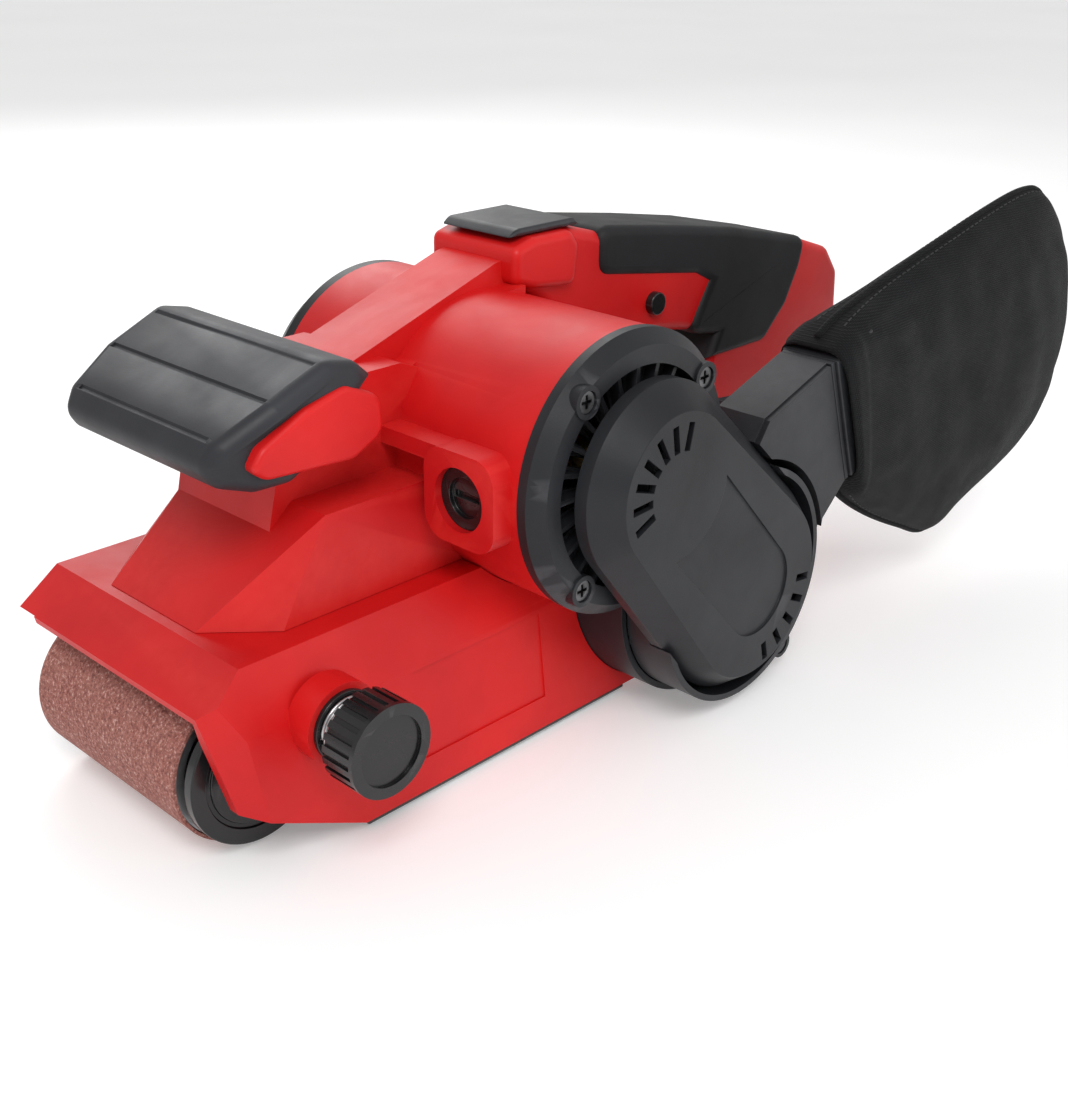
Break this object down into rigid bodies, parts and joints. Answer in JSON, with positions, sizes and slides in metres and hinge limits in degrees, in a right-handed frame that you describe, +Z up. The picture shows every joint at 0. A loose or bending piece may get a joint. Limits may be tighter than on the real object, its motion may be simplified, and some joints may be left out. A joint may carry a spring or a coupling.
{
  "type": "belt sander",
  "caption": "Handheld electric belt sander with a looped rear handle and trigger, a bar grip at the front, side drive cover, tracking knob, dust duct and cloth dust bag.",
  "frame": {"origin": "middle of the flat run of sanding belt that meets the work", "axes": "-X towards the nose and front grip, -Y towards the drive cover and dust bag, +Z up out of the work"},
  "size_m": [0.4273, 0.1535, 0.1604],
  "materials": {
    "red_shell": "satin",
    "charcoal_plastic": "fine grain",
    "gloss_black": "smooth",
    "grip_rubber": "matt",
    "abrasive": "coarse grit",
    "bag_cloth": "woven",
    "cast_alloy": "as cast",
    "steel": "ground",
    "spring_steel": "drawn",
    "copper_winding": "varnished",
    "brass": "turned",
    "carbon": "pressed",
    "tread_rubber": "ground",
    "cork_pad": "graphite cloth"
  },
  "bodies": {
    "machine": {"sanding_belt": "abrasive", "ball_bearings": "steel", "toothed_belt": "tread_rubber", "stator_core": "steel", "field_coils": "copper_winding", "carbon_brushes": "carbon", "brush_holders": "brass", "brush_caps": "gloss_black", "motor_housing": "red_shell", "far_end_bell": "charcoal_plastic", "motor_end_ring": "charcoal_plastic", "dust_fan_housing": "charcoal_plastic", "drive_cover": "charcoal_plastic", "pulley_housing": "charcoal_plastic", "dust_duct": "charcoal_plastic", "dust_spigot": "charcoal_plastic", "belt_hood": "red_shell", "base_rail": "gloss_black", "base_frame": "cast_alloy", "platen_plate": "steel", "platen_pad": "cork_pad", "tension_spring": "spring_steel", "pivot_pins": "steel", "tracking_spring": "spring_steel", "tracking_bush": "gloss_black", "handle_shell_near": "red_shell", "handle_shell_far": "red_shell", "housing_screws": "steel", "cord_inlet": "grip_rubber", "crest_pad": "gloss_black", "handle_sleeve": "grip_rubber", "switch_body": "gloss_black", "front_grip_core": "red_shell", "front_grip_cover": "grip_rubber"},
    "armature": {"armature_shaft": "steel", "armature_core": "steel", "armature_windings": "copper_winding", "commutator": "brass", "cooling_fan": "charcoal_plastic", "motor_pulley": "steel"},
    "counter": {"counter_shaft": "steel", "driven_pulley": "charcoal_plastic", "dust_fan": "charcoal_plastic"},
    "drive_roller": {"rear_shaft": "steel", "rear_roller_core": "cast_alloy", "rear_roller_tread": "tread_rubber", "drive_gear": "steel"},
    "front_roller": {"front_roller": "cast_alloy", "front_roller_bushes": "brass"},
    "fork_slide": {"fork_slider": "cast_alloy"},
    "fork_yoke": {"roller_yoke": "steel", "front_axle": "steel", "roller_guard": "gloss_black"},
    "tracking_knob": {"tracking_shaft": "steel", "tracking_knob": "gloss_black"},
    "tension_lever": {"tension_lever": "steel"},
    "trigger": {"trigger": "gloss_black"},
    "lock_button": {"lock_button": "gloss_black"},
    "dust_bag": {"bag_collar": "charcoal_plastic", "dust_bag": "bag_cloth"}
  },
  "joints": [
    {"name": "armature_spin", "type": "hinge", "parent": "machine", "child": "armature", "pos_m": [0.045, 0, 0.0965], "axis": [0, 1, 0], "continuous": true},
    {"name": "counter_spin", "type": "hinge", "parent": "machine", "child": "counter", "pos_m": [0.09176, -0.07, 0.04657], "axis": [0, 1, 0], "continuous": true},
    {"name": "drive_roller_spin", "type": "hinge", "parent": "machine", "child": "drive_roller", "pos_m": [0.07451, 0, 0.0258], "axis": [0, 1, 0], "continuous": true},
    {"name": "fork_slide", "type": "slide", "parent": "machine", "child": "fork_slide", "axis": [1, 0, 0], "range_m": [0, 0.008], "stiffness_N_per_m": 300, "springref_m": -0.005, "deforming": ["tension_spring"]},
    {"name": "fork_steer", "type": "hinge", "parent": "fork_slide", "child": "fork_yoke", "pos_m": [-0.045, 0, 0.0258], "axis": [0, 0, 1], "range_deg": [-1.6, 1.6], "deforming": ["sanding_belt"]},
    {"name": "front_roller_spin", "type": "hinge", "parent": "fork_yoke", "child": "front_roller", "pos_m": [-0.07451, 0, 0.0258], "axis": [0, 1, 0], "continuous": true},
    {"name": "tracking_knob_turn", "type": "hinge", "parent": "machine", "child": "tracking_knob", "pos_m": [-0.0595, -0.08, 0.044], "axis": [0, 1, 0], "range_deg": [-60, 60]},
    {"name": "tension_lever_swing", "type": "hinge", "parent": "machine", "child": "tension_lever", "pos_m": [0.014, 0.04, 0.0258], "axis": [0, 1, 0], "range_deg": [0, 61]},
    {"name": "trigger_pull", "type": "hinge", "parent": "machine", "child": "trigger", "pos_m": [0.107, 0, 0.114], "axis": [0, -1, 0], "range_deg": [0, 8], "stiffness_Nm_per_rad": 0.6, "springref_deg": -8.59},
    {"name": "lock_button_press", "type": "slide", "parent": "machine", "child": "lock_button", "axis": [0, 1, 0], "range_m": [0, 0.003], "stiffness_N_per_m": 200, "springref_m": -0.002},
    {"name": "bag_pull_off", "type": "slide", "parent": "machine", "child": "dust_bag", "axis": [0.9397, 0, 0.342], "range_m": [0, 0.024]}
  ],
  "couplings": [
    {"joint": "counter_spin", "follows": "armature_spin", "ratio": 0.36364},
    {"joint": "drive_roller_spin", "follows": "armature_spin", "ratio": -0.15311},
    {"joint": "front_roller_spin", "follows": "armature_spin", "ratio": -0.15311},
    {"joint": "fork_steer", "follows": "tracking_knob_turn", "ratio": 0.025},
    {"joint": "tension_lever_swing", "follows": "fork_slide", "rad_per_m": 130.9}
  ]
}
